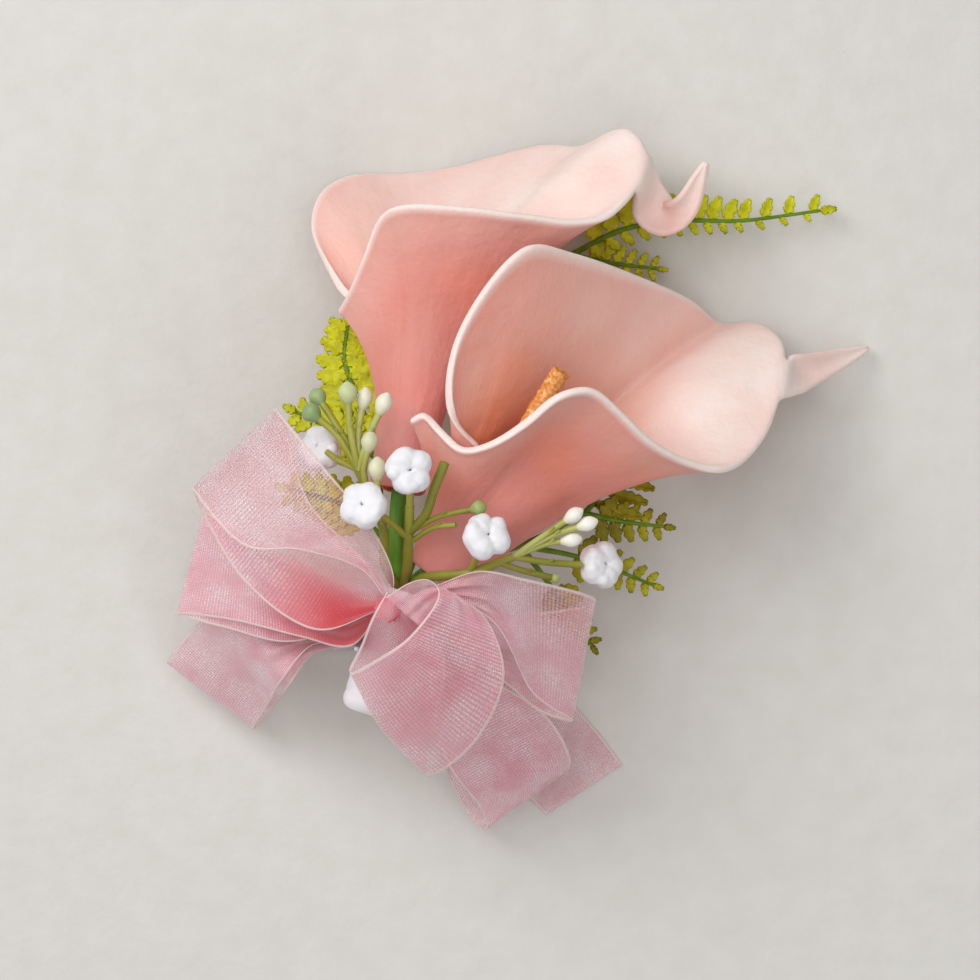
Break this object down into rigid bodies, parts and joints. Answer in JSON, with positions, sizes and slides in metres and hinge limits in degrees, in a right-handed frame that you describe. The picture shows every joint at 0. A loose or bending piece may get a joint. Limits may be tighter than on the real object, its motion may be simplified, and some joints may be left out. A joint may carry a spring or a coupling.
{
  "type": "wrist corsage",
  "caption": "Wrist corsage: foam calla lilies with fern and baby's breath, bound in a satin handle under an organza bow, on an elastic wristband.",
  "frame": {"origin": "middle of the wristband's underside, on the table", "axes": "+X to the right and +Y up in the picture, +Z up from the table towards the camera"},
  "size_m": [0.1342, 0.1336, 0.0608],
  "materials": {
    "petal_foam": "soft foam, pale at the rim and coral in the throat",
    "spadix_orange": "grainy, matte",
    "stem_green": "smooth plastic skin over wire",
    "sprig_green": "moulded plastic",
    "fern_green": "moulded plastic",
    "blossom_white": "soft moulded plastic",
    "organza": "sheer, shiny weave",
    "satin": "white satin",
    "tape": "waxed crepe paper",
    "clamp_steel": "thin bent sheet"
  },
  "bodies": {
    "bound_bunch": {"calla_a_stem_end": "stem_green", "calla_b_stem_end": "stem_green", "sprig_left": "sprig_green", "sprig_middle": "sprig_green", "sprig_right": "sprig_green", "blossom_1": "blossom_white", "blossom_2": "blossom_white", "blossom_3": "blossom_white", "blossom_4": "blossom_white", "blossom_5": "blossom_white", "fern_top": "fern_green", "fern_left": "fern_green", "fern_right": "fern_green", "bow_loop_left_1": "organza", "bow_loop_left_2": "organza", "bow_loop_left_3": "organza", "bow_loop_right_1": "organza", "bow_loop_right_2": "organza", "bow_loop_right_3": "organza", "bow_tie": "organza", "satin_wrap": "satin", "stem_tape": "tape", "wristlet_clamp": "clamp_steel", "band_top": "satin", "band_end_left": "satin", "band_end_right": "satin"},
    "calla_a": {"calla_a_petal": "petal_foam", "calla_a_spadix": "spadix_orange", "calla_a_stem": "stem_green"},
    "calla_b": {"calla_b_petal": "petal_foam", "calla_b_spadix": "spadix_orange", "calla_b_stem": "stem_green"},
    "band_under": {"band_bottom": "satin"},
    "tail": {"bow_tail": "organza"}
  },
  "joints": [
    {"name": "calla_a_bend", "type": "hinge", "parent": "bound_bunch", "child": "calla_a", "pos_m": [0.0004, 0.00568, 0.0336], "axis": [0, 0, 1], "range_deg": [-2, 10]},
    {"name": "calla_b_bend", "type": "hinge", "parent": "bound_bunch", "child": "calla_b", "pos_m": [0.00374, 0.00464, 0.0336], "axis": [0, 0, 1], "range_deg": [-10, 2]},
    {"name": "band_stretch", "type": "slide", "parent": "bound_bunch", "child": "band_under", "axis": [0, 0, -1], "range_m": [0, 0.015], "stiffness_N_per_m": 100, "deforming": ["band_end_left", "band_end_right"]},
    {"name": "bow_tail_swing", "type": "hinge", "parent": "bound_bunch", "child": "tail", "pos_m": [-0.0005, 0.002, 0.0408], "axis": [0, 0, 1], "range_deg": [-4, 4], "stiffness_Nm_per_rad": 0.002}
  ]
}
